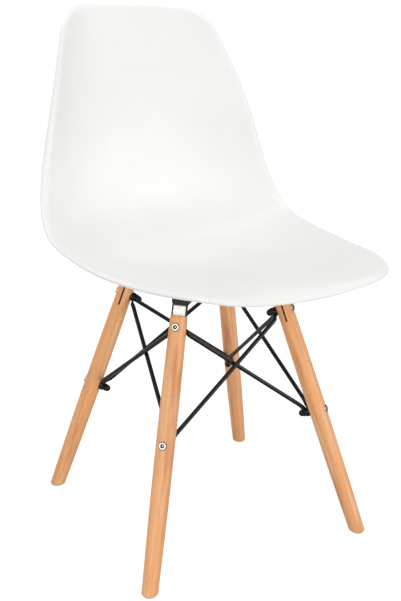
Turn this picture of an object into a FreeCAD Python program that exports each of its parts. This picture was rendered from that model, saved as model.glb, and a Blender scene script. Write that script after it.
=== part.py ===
import FreeCAD, Part
import bisect
import math
import os

import Sketcher
from FreeCAD import Placement, Rotation, Vector

# A dining chair: a moulded shell on four splayed beech legs that crossed wire rods brace.
# The floor is z = 0, the sitter faces -Y and the sitter's right hand is towards -X.
# Lengths are in millimetres, and a name that ends in _angle is in degrees.

SIZES = {
    # Legs: each one is described from its upper bolt, along its own axis.
    "bolt_offset": 94.7,
    "leg_below": 396.0,
    "leg_above": 17.0,
    "splay_angle": 19.9,
    "bolt_spacing": 175.0,
    "leg_top_radius": 12.9,
    "leg_foot_radius": 12.4,
    "leg_bow": 1.65,
    "leg_edge": 1.5,
    "foot_edge": 1.0,
    "slot_width": 3.0,
    "slot_clearance": 2.0,
    "spotface_depth": 1.6,
    "spotface_clearance": 0.6,
    # Bolts with a socket head outside, and washer, rod eyes and cap nut inside.
    "bolt_radius": 3.0,
    "bolt_clearance": 0.3,
    "head_radius": 6.0,
    "head_height": 2.8,
    "head_edge": 0.8,
    "socket_radius": 2.8,
    "socket_depth": 1.8,
    "washer_radius": 6.0,
    "washer_thickness": 1.8,
    "nut_radius": 6.9,
    "nut_hexagon_height": 5.5,
    "nut_dome_radius": 5.6,
    "nut_height": 12.5,
    "nut_bore_depth": 8.5,
    "thread_engagement": 7.0,
    # Brace rods.
    "rod_radius": 3.4,
    "rod_gap": 0.5,
    "eye_radius": 7.4,
    "eye_thickness": 2.6,
    "tongue_width": 7.4,
    "tongue_length": 12.0,
    "neck_start": 10.0,
    "neck_clearance": 0.3,
    "bend_reach": 18.0,
    "rod_bend_radius": 8.0,
    # Brackets: a plate in the leg's slot and a level tab under the seat.
    "plate_thickness": 2.5,
    "plate_width": 24.0,
    "plate_below": 16.0,
    "bend_rise": 34.0,
    "bend_radius": 3.0,
    "tab_length": 38.0,
    "tab_corner": 5.0,
    "screw_reach": 22.0,
    # Rubber pads, seat screws and inserts.
    "pad_thickness": 8.0,
    "pad_width": 27.0,
    "pad_overhang": 1.5,
    "pad_brow": 4.0,
    "pad_corner": 6.0,
    "screw_radius": 3.0,
    "screw_clearance": 0.3,
    "screw_head_radius": 5.5,
    "screw_head_height": 3.5,
    "screw_engagement": 6.5,
    "seat_washer_radius": 8.0,
    "insert_radius": 4.4,
    "insert_length": 7.5,
    "insert_clearance": 0.1,
    # Glides and their nails.
    "glide_inset": 2.2,
    "glide_thickness": 3.0,
    "glide_edge": 0.8,
    "nail_radius": 1.1,
    "nail_length": 16.0,
    "nail_head_radius": 3.2,
    "nail_head_height": 1.2,
    "nail_clearance": 0.3,
    # Shell.
    "shell_thickness": 5.0,
    "shell_shift": -2.0,
    "front_corner_radius": 92.0,
    "top_corner_radius": 35.0,
    "rim_roll_width": 16.0,
    "rim_roll_drop": 7.0,
    "boss_radius": 13.0,
}

# The shell's form, by stations from the front edge to the top of the back. A station has a pole of
# the centre line and a pole of the rim line, each as a place along Y and a rise above the pads'
# tops, then the half width and how sharply the section turns up towards the rim.
STATION_SIZES = ("centre_along", "centre_rise", "rim_along", "rim_rise", "half_width", "sharpness")
STATIONS = {
    "front_edge": (-283.0, 43.3, -297.0, 87.0, 197.0, 2.1),
    "front_roll": (-263.0, 58.6, -247.0, 66.0, 190.0, 2.4),
    "thigh": (-208.0, 53.6, -154.0, 62.0, 205.0, 2.8),
    "seat_front": (-80.0, 32.0, -67.0, 58.0, 221.0, 3.0),
    "seat_rear": (60.0, 10.0, 55.0, 65.0, 225.0, 3.0),
    "hip": (165.0, 13.0, 119.0, 79.0, 225.0, 2.8),
    "lumbar": (196.0, 157.0, 164.0, 166.0, 206.0, 2.5),
    "shoulder": (231.0, 308.0, 167.0, 287.0, 173.0, 2.5),
    "top_edge": (278.0, 416.4, 236.0, 404.4, 130.0, 3.0),
}

# Corners in order round the chair, with their signs along X and Y.
CORNERS = [("front_right", -1, -1), ("front_left", 1, -1), ("rear_left", 1, 1), ("rear_right", -1, 1)]

ACROSS = Vector(1, 0, 0)
ALONG = Vector(0, 1, 0)
UP = Vector(0, 0, 1)

doc = FreeCAD.newDocument("shell_chair")


def fill_sheet():
    """Put every driving size into the sheet, each under its own name."""
    sheet = doc.addObject("Spreadsheet::Sheet", "Sizes")
    cells = dict(SIZES)
    for station, numbers in STATIONS.items():
        for kind, number in zip(STATION_SIZES, numbers):
            cells[f"{station}_{kind}"] = number
    for row, (name, number) in enumerate(cells.items(), 1):
        sheet.set(f"A{row}", name)
        sheet.set(f"B{row}", str(number))
        sheet.setAlias(f"B{row}", name)
    doc.recompute()
    return sheet


sizes = fill_sheet()


def size(name):
    return float(sizes.get(name))


def cell(name):
    """The expression that reads one size from the sheet."""
    return f"Sizes.{name}"


SPLAY = size("splay_angle")
SPLAY_SIN = math.sin(math.radians(SPLAY))
SPLAY_COS = math.cos(math.radians(SPLAY))
BOLT_HEIGHT = size("leg_below") * SPLAY_COS
DROPS = {"upper": 0.0, "lower": size("bolt_spacing")}

# The bracket seen from the side, from the upper bolt: X points away from the chair's middle.
TAB_TOP = size("bend_rise") * SPLAY_COS + size("plate_thickness") / 2
TAB_UNDERSIDE = TAB_TOP - size("plate_thickness")
BEND_ALONG = -size("bend_rise") * SPLAY_SIN
SCREW_ALONG = BEND_ALONG - size("screw_reach")
PAD_TOP = TAB_TOP + size("pad_thickness")
MOUNT_HEIGHT = BOLT_HEIGHT + PAD_TOP


def corner_frame(corner, height):
    """Level frame over or under a leg's upper bolt, with X pointing outwards."""
    _, sign_x, sign_y = corner
    turn = Rotation(UP, math.degrees(math.atan2(sign_y, sign_x)))
    offset = size("bolt_offset")
    return Placement(Vector(sign_x * offset, sign_y * offset, height), turn)


def leg_frame(corner, drop=0.0):
    """Frame on the leg's axis, drop below the upper bolt, with Z up the leg and X outwards."""
    tilt = Placement(Vector(), Rotation(ALONG, -SPLAY))
    return corner_frame(corner, BOLT_HEIGHT) * tilt * Placement(Vector(0, 0, -drop), Rotation())


def leg_radius(drop):
    """The leg's radius at a drop below the upper bolt: an arc that bows out above a straight foot."""
    top = Vector(size("leg_top_radius"), size("leg_above"), 0)
    foot = Vector(size("leg_foot_radius"), size("leg_foot_radius") - size("leg_below"), 0)
    chord = top - foot
    bow = size("leg_bow")
    radius = (chord.Length ** 2 / 4 + bow ** 2) / (2 * bow)
    inward = Vector(-chord.y, chord.x, 0).normalize()
    centre = (top + foot) * 0.5 + inward * (radius - bow)
    return centre.x + math.sqrt(radius ** 2 - (-drop - centre.y) ** 2)


def flat(drop):
    """Distance from the leg's axis to the spot-faced flats round a bolt."""
    return leg_radius(drop) - size("spotface_depth")


def stack_end(drop):
    """Distance from the leg's axis to the cap nut: washer and two rod eyes lie before it."""
    return flat(drop) + size("washer_thickness") + 2 * size("eye_thickness")


def add(kind, name, bindings, placement=None):
    """One object, its properties bound to expressions."""
    item = doc.addObject(kind, name)
    for prop, expression in bindings.items():
        item.setExpression(prop, expression)
    item.Placement = placement or Placement()
    return item


def fuse(name, base, tool):
    joined = doc.addObject("Part::Fuse", name)
    joined.Base = base
    joined.Tool = tool
    return joined


def new_body(name):
    body = doc.addObject("PartDesign::Body", name)
    body.Label = name
    return body


def feature(body, kind, name, bindings, placement=None):
    """A feature of a body, its properties bound to expressions."""
    item = body.newObject(f"PartDesign::{kind}", name)
    for prop, expression in bindings.items():
        item.setExpression(prop, expression)
    if placement:
        item.Placement = placement
    return item


def bore(body, name, radius, length, start, direction):
    """A round hole of a body, from a start point along a direction."""
    placement = Placement(start, Rotation(UP, direction))
    item = feature(body, "SubtractiveCylinder", name, {"Radius": radius}, placement)
    item.Height = length
    return item


def new_sketch(body, name, role, lift=None):
    """A sketch on one of the body's own origin planes, lifted off it by an expression."""
    sketch = body.newObject("Sketcher::SketchObject", name)
    plane = next(item for item in body.Origin.OriginFeatures if item.Role == role)
    sketch.AttachmentSupport = (plane, [""])
    sketch.MapMode = "FlatFace"
    if lift:
        sketch.setExpression("AttachmentOffset.Base.z", lift)
    return sketch


def pin(sketch, kind, line, end, expression, start):
    """Hold one coordinate of a point to an expression, or to an axis where it is nought."""
    if expression == "0":
        axis = -2 if kind == "DistanceX" else -1
        sketch.addConstraint(Sketcher.Constraint("PointOnObject", line, end, axis))
        return
    index = sketch.addConstraint(Sketcher.Constraint(kind, line, end, start))
    sketch.setExpression(f"Constraints[{index}]", expression)


def outline(sketch, corners):
    """A closed outline of straight edges, each corner a pair of expressions."""
    count = len(corners)
    rough = [Vector(40 * math.cos(i), 40 * math.sin(i), 0) for i in
             (2 * math.pi * step / count for step in range(count))]
    for step in range(count):
        sketch.addGeometry(Part.LineSegment(rough[step], rough[(step + 1) % count]))
    for step in range(count):
        link = Sketcher.Constraint("Coincident", step, 2, (step + 1) % count, 1)
        sketch.addConstraint(link)
    for step, (across, upward) in enumerate(corners):
        pin(sketch, "DistanceX", step, 1, across, rough[step].x)
        pin(sketch, "DistanceY", step, 1, upward, rough[step].y)


def revolve(body, name, sketch, axis):
    item = body.newObject("PartDesign::Revolution", name)
    item.Profile = sketch
    item.ReferenceAxis = (sketch, [axis])
    item.Angle = 360.0
    return item


def edges_where(shape, test):
    """Names of the edges whose middle point passes a test."""
    names = []
    for index, edge in enumerate(shape.Edges, 1):
        middle = edge.valueAt((edge.FirstParameter + edge.LastParameter) / 2)
        if test(edge, middle):
            names.append(f"Edge{index}")
    return names


def dress(body, kind, name, base, names, prop, expression):
    """A fillet or chamfer on named edges of a body's feature."""
    item = body.newObject(f"PartDesign::{kind}", name)
    item.Base = (base, names)
    item.setExpression(prop, expression)
    return item


def make_leg(corner):
    """Turned leg, bowed down to a straight foot, with the bracket's slot and two bolt holes."""
    body = new_body(f"{corner[0]}_leg")
    spare = size("leg_foot_radius")
    top, edge = cell("leg_above"), cell("leg_edge")
    sketch = new_sketch(body, f"{corner[0]}_leg_profile", "XZ_Plane")
    foot_at = Vector(size("leg_foot_radius"), spare - size("leg_below"), 0)
    end_at = Vector(foot_at.x, foot_at.y - 2 * spare, 0)
    top_at = Vector(size("leg_top_radius"), size("leg_above"), 0)
    belly = Vector(leg_radius(size("leg_below") / 2), -size("leg_below") / 2, 0)
    lip_at = Vector(top_at.x, top_at.y - size("leg_edge"), 0)
    flat_at = Vector(top_at.x - size("leg_edge"), top_at.y, 0)
    sketch.addGeometry(Part.Arc(foot_at, belly, lip_at))
    for start, stop in ((lip_at, flat_at), (flat_at, Vector(0, top_at.y, 0)),
                        (Vector(0, top_at.y, 0), Vector(0, end_at.y, 0)),
                        (Vector(0, end_at.y, 0), end_at), (end_at, foot_at)):
        sketch.addGeometry(Part.LineSegment(start, stop))
    for step in range(6):
        sketch.addConstraint(Sketcher.Constraint("Coincident", step, 2, (step + 1) % 6, 1))
    for line, across, upward, point in (
            (0, cell("leg_foot_radius"), f"{cell('leg_foot_radius')} - {cell('leg_below')}", foot_at),
            (1, cell("leg_top_radius"), f"{top} - {edge}", lip_at),
            (2, f"{cell('leg_top_radius')} - {edge}", top, flat_at),
            (3, "0", top, Vector(0, top_at.y, 0)),
            (4, "0", f"-{cell('leg_below')} - {cell('leg_foot_radius')}", end_at),
            (5, cell("leg_foot_radius"), f"-{cell('leg_below')} - {cell('leg_foot_radius')}", end_at)):
        pin(sketch, "DistanceX", line, 1, across, point.x)
        pin(sketch, "DistanceY", line, 1, upward, point.y)
    chord = f"({top} + {cell('leg_below')} - {cell('leg_foot_radius')})"
    bow = cell("leg_bow")
    radius = sketch.addConstraint(Sketcher.Constraint("Radius", 0, sketch.Geometry[0].Radius))
    sketch.setExpression(f"Constraints[{radius}]", f"({chord}^2 / 4 + {bow}^2) / (2 * {bow})")
    revolve(body, f"{corner[0]}_leg_turning", sketch, "V_Axis")

    block = 4 * size("leg_top_radius")
    foot_level = size("glide_thickness") / SPLAY_COS - size("leg_below")
    level = Placement(Vector(0, 0, foot_level), Rotation(ALONG, SPLAY))
    below = Placement(Vector(-block / 2, -block / 2, -block), Rotation())
    trim = feature(body, "SubtractiveBox", f"{corner[0]}_foot_cut", {}, level * below)
    trim.Length = trim.Width = trim.Height = block
    doc.recompute()
    rim = edges_where(trim.Shape, lambda edge, middle: abs(
        level.inverse().multVec(middle).z) < 0.01 and edge.Length > 1)
    dress(body, "Chamfer", f"{corner[0]}_foot_edge", trim, rim, "Size", cell("foot_edge"))

    depth = f"({cell('plate_below')} + {cell('slot_clearance')})"
    slot = feature(body, "SubtractiveBox", f"{corner[0]}_slot", {
        "Length": cell("slot_width"), "Height": f"{top} + {depth}",
        "Placement.Base.x": f"-{cell('slot_width')} / 2",
        "Placement.Base.z": f"-{depth}"})
    slot.Width = block
    slot.Placement.Base.y = -block / 2

    hole = f"{cell('bolt_radius')} + {cell('bolt_clearance')}"
    recess = f"{cell('head_radius')} + {cell('spotface_clearance')}"
    for which, drop in DROPS.items():
        start = Vector(-block / 2, 0, -drop)
        bore(body, f"{corner[0]}_{which}_hole", hole, block, start, ACROSS)
        for side, way in (("outer", 1), ("inner", -1)):
            start = Vector(way * flat(drop), 0, -drop)
            bore(body, f"{corner[0]}_{which}_{side}_flat", recess, block, start, ACROSS * way)

    nail = f"{cell('nail_radius')} + {cell('nail_clearance')}"
    start = Vector(0, 0, -size("leg_below"))
    deep = size("nail_length") + size("nail_clearance")
    bore(body, f"{corner[0]}_nail_hole", nail, deep, start, level.Rotation.multVec(UP))
    body.Placement = leg_frame(corner)
    return body


def make_bolt(corner, which):
    """Round-headed bolt with a hexagon socket; its axis is X, outwards from the leg's axis."""
    drop = DROPS[which]
    name = f"{corner[0]}_{which}_bolt"
    body = new_body(name)
    seat = flat(drop)
    tip = -(stack_end(drop) + size("thread_engagement"))
    top = f"{seat} + {cell('head_height')}"
    sketch = new_sketch(body, f"{name}_profile", "XZ_Plane")
    outline(sketch, [
        (f"{tip}", "0"), (f"{tip}", cell("bolt_radius")), (f"{seat}", cell("bolt_radius")),
        (f"{seat}", cell("head_radius")),
        (f"{top} - {cell('head_edge')}", cell("head_radius")),
        (top, f"{cell('head_radius')} - {cell('head_edge')}"), (top, "0")])
    revolve(body, f"{name}_turning", sketch, "H_Axis")
    start = Vector(seat + size("head_height") - size("socket_depth"), 0, 0)
    feature(body, "SubtractivePrism", f"{name}_socket", {
        "Circumradius": cell("socket_radius"), "Height": f"{cell('socket_depth')} + 1"},
        Placement(start, Rotation(UP, ACROSS)))
    body.Placement = leg_frame(corner, drop)
    return body


def make_cap_nut(corner, which):
    """Hexagon nut with a closed dome, screwed on from inside; its axis is its own Z."""
    drop = DROPS[which]
    name = f"{corner[0]}_{which}_cap_nut"
    body = new_body(name)
    feature(body, "AdditivePrism", f"{name}_hexagon", {
        "Circumradius": cell("nut_radius"), "Height": cell("nut_hexagon_height")})
    feature(body, "AdditiveCylinder", f"{name}_collar", {
        "Radius": cell("nut_dome_radius"),
        "Height": f"{cell('nut_height')} - {cell('nut_dome_radius')}"})
    feature(body, "AdditiveSphere", f"{name}_dome", {
        "Radius": cell("nut_dome_radius"),
        "Placement.Base.z": f"{cell('nut_height')} - {cell('nut_dome_radius')}"})
    radius = f"{cell('bolt_radius')} + {cell('bolt_clearance')} / 2"
    bore(body, f"{name}_thread", radius, size("nut_bore_depth"), Vector(), UP)
    inward = Placement(Vector(-stack_end(drop), 0, 0), Rotation(UP, -ACROSS))
    body.Placement = leg_frame(corner, drop) * inward
    return body


def ring(name, outer, inner, thickness, placement):
    """A flat washer, bound to its sizes."""
    disc = add("Part::Cylinder", f"{name}_disc", {"Radius": outer, "Height": thickness})
    hole = add("Part::Cylinder", f"{name}_hole", {"Radius": inner, "Height": thickness})
    washer = doc.addObject("Part::Cut", name)
    washer.Base = disc
    washer.Tool = hole
    washer.Placement = placement
    return washer


def group(name, items):
    """Like fasteners as one node of separate solids."""
    compound = doc.addObject("Part::Compound", name)
    compound.Label = name
    compound.Links = items
    return compound


def make_leg_washers():
    washers = []
    for corner in CORNERS:
        for which, drop in DROPS.items():
            place = Placement(Vector(-flat(drop), 0, 0), Rotation(UP, -ACROSS))
            washers.append(ring(
                f"{corner[0]}_{which}_washer", cell("washer_radius"),
                f"{cell('bolt_radius')} + {cell('bolt_clearance')}", cell("washer_thickness"),
                leg_frame(corner, drop) * place))
    return group("leg_washers", washers)


def eye_place(corner, which, layer):
    """Centre and normal of a rod's eye on a bolt; layer 0 lies against the washer."""
    drop = DROPS[which]
    reach = flat(drop) + size("washer_thickness") + (layer + 0.5) * size("eye_thickness")
    frame = leg_frame(corner, drop)
    return frame.multVec(Vector(-reach, 0, 0)), frame.Rotation.multVec(ACROSS)


def rounded_path(points, radius):
    """Straight runs joined by tangent arcs of one radius."""
    edges = []
    here = points[0]
    for before, corner, after in zip(points, points[1:], points[2:]):
        back, ahead = (before - corner).normalize(), (after - corner).normalize()
        half = back.getAngle(ahead) / 2
        middle = corner + (back + ahead).normalize() * (radius / math.sin(half) - radius)
        start, stop = (corner + way * (radius / math.tan(half)) for way in (back, ahead))
        edges += [Part.LineSegment(here, start).toShape(), Part.Arc(start, middle, stop).toShape()]
        here = stop
    edges.append(Part.LineSegment(here, points[-1]).toShape())
    return Part.Wire(edges)


def make_wire(name, points):
    """Round wire along a path with bent corners."""
    path = doc.addObject("Part::Feature", f"{name}_path")
    path.Shape = rounded_path(points, size("rod_bend_radius"))
    across = Placement(points[0], Rotation(UP, points[1] - points[0]))
    section = add("Part::Circle", f"{name}_section", {"Radius": cell("rod_radius")}, across)
    wire = doc.addObject("Part::Sweep", f"{name}_wire")
    wire.Sections = [section]
    wire.Spine = (path, [f"Edge{index}" for index in range(1, len(path.Shape.Edges) + 1)])
    wire.Solid = True
    return wire


def make_eye(name, centre, normal, towards):
    """The flattened end of a rod: a round eye with its hole and a tongue towards the far end."""
    half = normal * (size("eye_thickness") / 2)
    disc = add("Part::Cylinder", f"{name}_disc", {
        "Radius": cell("eye_radius"), "Height": cell("eye_thickness")},
        Placement(centre - half, Rotation(towards, normal.cross(towards), normal, "ZXY")))
    side = normal.cross(towards)
    tongue = add("Part::Box", f"{name}_tongue", {
        "Length": cell("tongue_length"), "Width": cell("tongue_width"),
        "Height": cell("eye_thickness")},
        Placement(centre - half - side * (size("tongue_width") / 2),
                  Rotation(towards, side, normal, "ZXY")))
    hole = add("Part::Cylinder", f"{name}_hole", {
        "Radius": f"{cell('bolt_radius')} + {cell('bolt_clearance')}",
        "Height": f"3 * {cell('eye_thickness')}"},
        Placement(centre - half * 3, Rotation(UP, normal)))
    eye = doc.addObject("Part::Cut", name)
    eye.Base = fuse(f"{name}_blank", disc, tongue)
    eye.Tool = hole
    return eye


def make_rod(high, low, layer):
    """Brace rod from one leg's upper bolt to the next leg's lower bolt.

    Both eyes lie in the same layer. The wire leaves them towards the chair's middle, clear of the
    leg, and the inner one of two crossing rods is bent in until a small gap parts them.
    """
    name = f"{high[0]}_to_{low[0]}_rod"
    ends = [eye_place(high, "upper", layer), eye_place(low, "lower", layer)]
    outward = side_normal(high, low)
    apart = size("eye_thickness") * abs(ends[0][1].dot(outward))
    bend = 2 * size("rod_radius") + size("rod_gap") - apart
    inward = size("rod_radius") - size("eye_thickness") / 2 + size("neck_clearance")
    eyes, starts, turns = [], [], []
    for index, (centre, normal) in enumerate(ends):
        to_far = ends[1 - index][0] - centre
        towards = (to_far - normal * to_far.dot(normal)).normalize()
        eyes.append(make_eye(f"{name}_eye_{index}", centre, normal, towards))
        starts.append(centre + towards * size("neck_start") - normal * inward)
        turns.append(centre + towards * size("bend_reach") - normal * inward
                     - outward * (bend * layer))
    wire = make_wire(name, [starts[0], turns[0], turns[1], starts[1]])
    rod = fuse(name, fuse(f"{name}_half", wire, eyes[0]), eyes[1])
    rod.Label = name
    return rod


def side_normal(first, second):
    """Outward normal of the sloping plane through the bolts of two neighbouring legs."""
    upper = [leg_frame(corner).Base for corner in (first, second)]
    lower = leg_frame(first, size("bolt_spacing")).Base
    normal = (upper[1] - upper[0]).cross(lower - upper[0]).normalize()
    middle = (upper[0] + upper[1]) * 0.5
    return normal if normal.dot(Vector(middle.x, middle.y, 0)) > 0 else -normal


def make_bracket(corner):
    """Bent steel strip: a plate along the leg's axis and a level tab that carries the seat."""
    name = f"{corner[0]}_bracket"
    body = new_body(name)
    half = f"({cell('plate_thickness')} / 2)"
    sine, cosine = f"sin({cell('splay_angle')})", f"cos({cell('splay_angle')})"
    top = f"({cell('bend_rise')} * {cosine} + {half})"
    under = f"({top} - {cell('plate_thickness')})"
    slope = f"({sine} / {cosine})"
    below = cell("plate_below")
    tip = f"-{cell('bend_rise')} * {sine} - {cell('tab_length')}"
    sketch = new_sketch(body, f"{name}_profile", "XZ_Plane")
    outline(sketch, [
        (f"{below} * {sine} + {half} * {cosine}", f"-{below} * {cosine} + {half} * {sine}"),
        (f"-{top} * {slope} + {half} / {cosine}", top),
        (tip, top), (tip, under),
        (f"-{under} * {slope} - {half} / {cosine}", under),
        (f"{below} * {sine} - {half} * {cosine}", f"-{below} * {cosine} - {half} * {sine}")])
    plate = feature(body, "Pad", f"{name}_strip", {"Length": cell("plate_width")})
    plate.Profile = sketch
    plate.SideType = "Symmetric"
    doc.recompute()

    def at_bend(level):
        return edges_where(plate.Shape, lambda edge, middle: abs(middle.y) < 0.01 and abs(
            middle.z - level) < 0.01 and middle.x > SCREW_ALONG)

    inner = dress(body, "Fillet", f"{name}_inner_bend", plate, at_bend(TAB_UNDERSIDE), "Radius",
                  cell("bend_radius"))
    doc.recompute()
    names = edges_where(inner.Shape, lambda edge, middle: abs(middle.y) < 0.01 and abs(
        middle.z - TAB_TOP) < 0.01 and middle.x > SCREW_ALONG)
    outer = dress(body, "Fillet", f"{name}_outer_bend", inner, names, "Radius",
                  f"{cell('bend_radius')} + {cell('plate_thickness')}")
    doc.recompute()
    tab_tip = BEND_ALONG - size("tab_length")
    names = edges_where(outer.Shape, lambda edge, middle: abs(
        middle.x - tab_tip) < 0.01 and abs(middle.y) > 1)
    dress(body, "Fillet", f"{name}_tab_corners", outer, names, "Radius", cell("tab_corner"))

    normal = Vector(SPLAY_COS, 0, SPLAY_SIN)
    reach = 2 * size("plate_thickness")
    bore(body, f"{name}_bolt_hole", f"{cell('bolt_radius')} + {cell('bolt_clearance')}",
         2 * reach, normal * -reach, normal)
    bore(body, f"{name}_screw_hole", f"{cell('screw_radius')} + {cell('screw_clearance')}",
         2 * reach, Vector(SCREW_ALONG, 0, TAB_UNDERSIDE - size("plate_thickness")), UP)
    body.Placement = corner_frame(corner, BOLT_HEIGHT)
    return body


def make_pad(corner):
    """Rubber pad between the bracket's tab and the shell's boss."""
    name = f"{corner[0]}_mount_pad"
    body = new_body(name)
    bend = f"-{cell('bend_rise')} * sin({cell('splay_angle')})"
    inner = f"{bend} - {cell('tab_length')} - {cell('pad_overhang')}"
    outer = f"{bend} + {cell('pad_brow')}"
    wide = f"{cell('pad_width')} / 2"
    sketch = new_sketch(body, f"{name}_outline", "XY_Plane")
    outline(sketch, [(inner, f"-{wide}"), (outer, f"-{wide}"), (outer, wide), (inner, wide)])
    block = feature(body, "Pad", f"{name}_block", {"Length": cell("pad_thickness")})
    block.Profile = sketch
    doc.recompute()
    names = edges_where(block.Shape, lambda edge, middle: edge.tangentAt(
        edge.FirstParameter).cross(UP).Length < 0.01)
    dress(body, "Fillet", f"{name}_corners", block, names, "Radius", cell("pad_corner"))
    bore(body, f"{name}_hole", f"{cell('screw_radius')} + {cell('screw_clearance')}",
         2 * size("pad_thickness"), Vector(SCREW_ALONG, 0, -size("pad_thickness") / 2), UP)
    body.Placement = corner_frame(corner, BOLT_HEIGHT + TAB_TOP)
    return body


def make_seat_screw(corner):
    """Pan-headed screw that goes up through the tab and the pad into the shell's insert."""
    name = f"{corner[0]}_seat_screw"
    body = new_body(name)
    rise = (f"{cell('washer_thickness')} + {cell('plate_thickness')} + {cell('pad_thickness')}"
            f" + {cell('screw_engagement')}")
    head = cell("screw_head_radius")
    low = f"-{cell('screw_head_height')}"
    sketch = new_sketch(body, f"{name}_profile", "XZ_Plane")
    outline(sketch, [
        ("0", low), (f"{head} - {cell('head_edge')}", low), (head, f"{low} + {cell('head_edge')}"),
        (head, "0"), (cell("screw_radius"), "0"), (cell("screw_radius"), rise), ("0", rise)])
    revolve(body, f"{name}_turning", sketch, "V_Axis")
    feature(body, "SubtractivePrism", f"{name}_socket", {
        "Circumradius": cell("socket_radius"), "Height": f"{cell('socket_depth')} + 1",
        "Placement.Base.z": f"{low} - 1"})
    under = TAB_UNDERSIDE - size("washer_thickness")
    body.Placement = corner_frame(corner, BOLT_HEIGHT) * Placement(
        Vector(SCREW_ALONG, 0, under), Rotation())
    return body


def make_seat_washers():
    washers = []
    for corner in CORNERS:
        place = Vector(SCREW_ALONG, 0, TAB_UNDERSIDE - size("washer_thickness"))
        washers.append(ring(
            f"{corner[0]}_seat_washer", cell("seat_washer_radius"),
            f"{cell('screw_radius')} + {cell('screw_clearance')}", cell("washer_thickness"),
            corner_frame(corner, BOLT_HEIGHT) * Placement(place, Rotation())))
    return group("seat_washers", washers)


def make_inserts():
    """Brass bushes moulded into the bosses, flush with the boss's lower face."""
    bushes = []
    for corner in CORNERS:
        place = Placement(Vector(SCREW_ALONG, 0, PAD_TOP), Rotation())
        bushes.append(ring(
            f"{corner[0]}_insert", cell("insert_radius"),
            f"{cell('screw_radius')} + {cell('screw_clearance')} / 2", cell("insert_length"),
            corner_frame(corner, BOLT_HEIGHT) * place))
    return group("threaded_inserts", bushes)


def foot_place(corner):
    """Where the leg's axis meets the floor."""
    base = leg_frame(corner, size("leg_below")).Base
    return Placement(Vector(base.x, base.y, 0), Rotation())


def make_glide(corner):
    """Round plastic glide under the foot, counterbored for its nail."""
    name = f"{corner[0]}_glide"
    body = new_body(name)
    wide, edge = f"({cell('leg_foot_radius')} - {cell('glide_inset')})", cell("glide_edge")
    thick, head = cell("glide_thickness"), cell("nail_head_height")
    sink = f"({cell('nail_head_radius')} + {cell('nail_clearance')})"
    shaft = f"({cell('nail_radius')} + {cell('nail_clearance')})"
    step = f"({head} + {cell('nail_clearance')})"
    sketch = new_sketch(body, f"{name}_profile", "XZ_Plane")
    outline(sketch, [
        (sink, "0"), (f"{wide} - {edge}", "0"), (wide, edge), (wide, thick), (shaft, thick),
        (shaft, step), (sink, step)])
    revolve(body, f"{name}_turning", sketch, "V_Axis")
    body.Placement = foot_place(corner)
    return body


def make_glide_nails():
    """Flat-headed nails, their heads sunk a little above the floor."""
    nails = []
    for corner in CORNERS:
        name = f"{corner[0]}_nail"
        lift = f"{cell('nail_clearance')}"
        head = add("Part::Cylinder", f"{name}_head", {
            "Radius": cell("nail_head_radius"), "Height": cell("nail_head_height"),
            "Placement.Base.z": lift})
        shank = add("Part::Cylinder", f"{name}_shank", {
            "Radius": cell("nail_radius"), "Height": f"{cell('nail_length')} - {lift}",
            "Placement.Base.z": lift})
        nail = fuse(name, head, shank)
        nail.Placement = foot_place(corner)
        nails.append(nail)
    return group("glide_nails", nails)


def station_curve(first, second):
    """Cubic curve through the shell's stations, from two of their sizes, in a plane."""
    poles = [Vector(size(f"{name}_{first}"), size(f"{name}_{second}"), 0) for name in STATIONS]
    spans = len(poles) - 3
    curve = Part.BSplineCurve()
    curve.buildFromPolesMultsKnots(
        poles, [4] + [1] * (spans - 1) + [4], [step / spans for step in range(spans + 1)], False, 3)
    return curve


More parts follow.
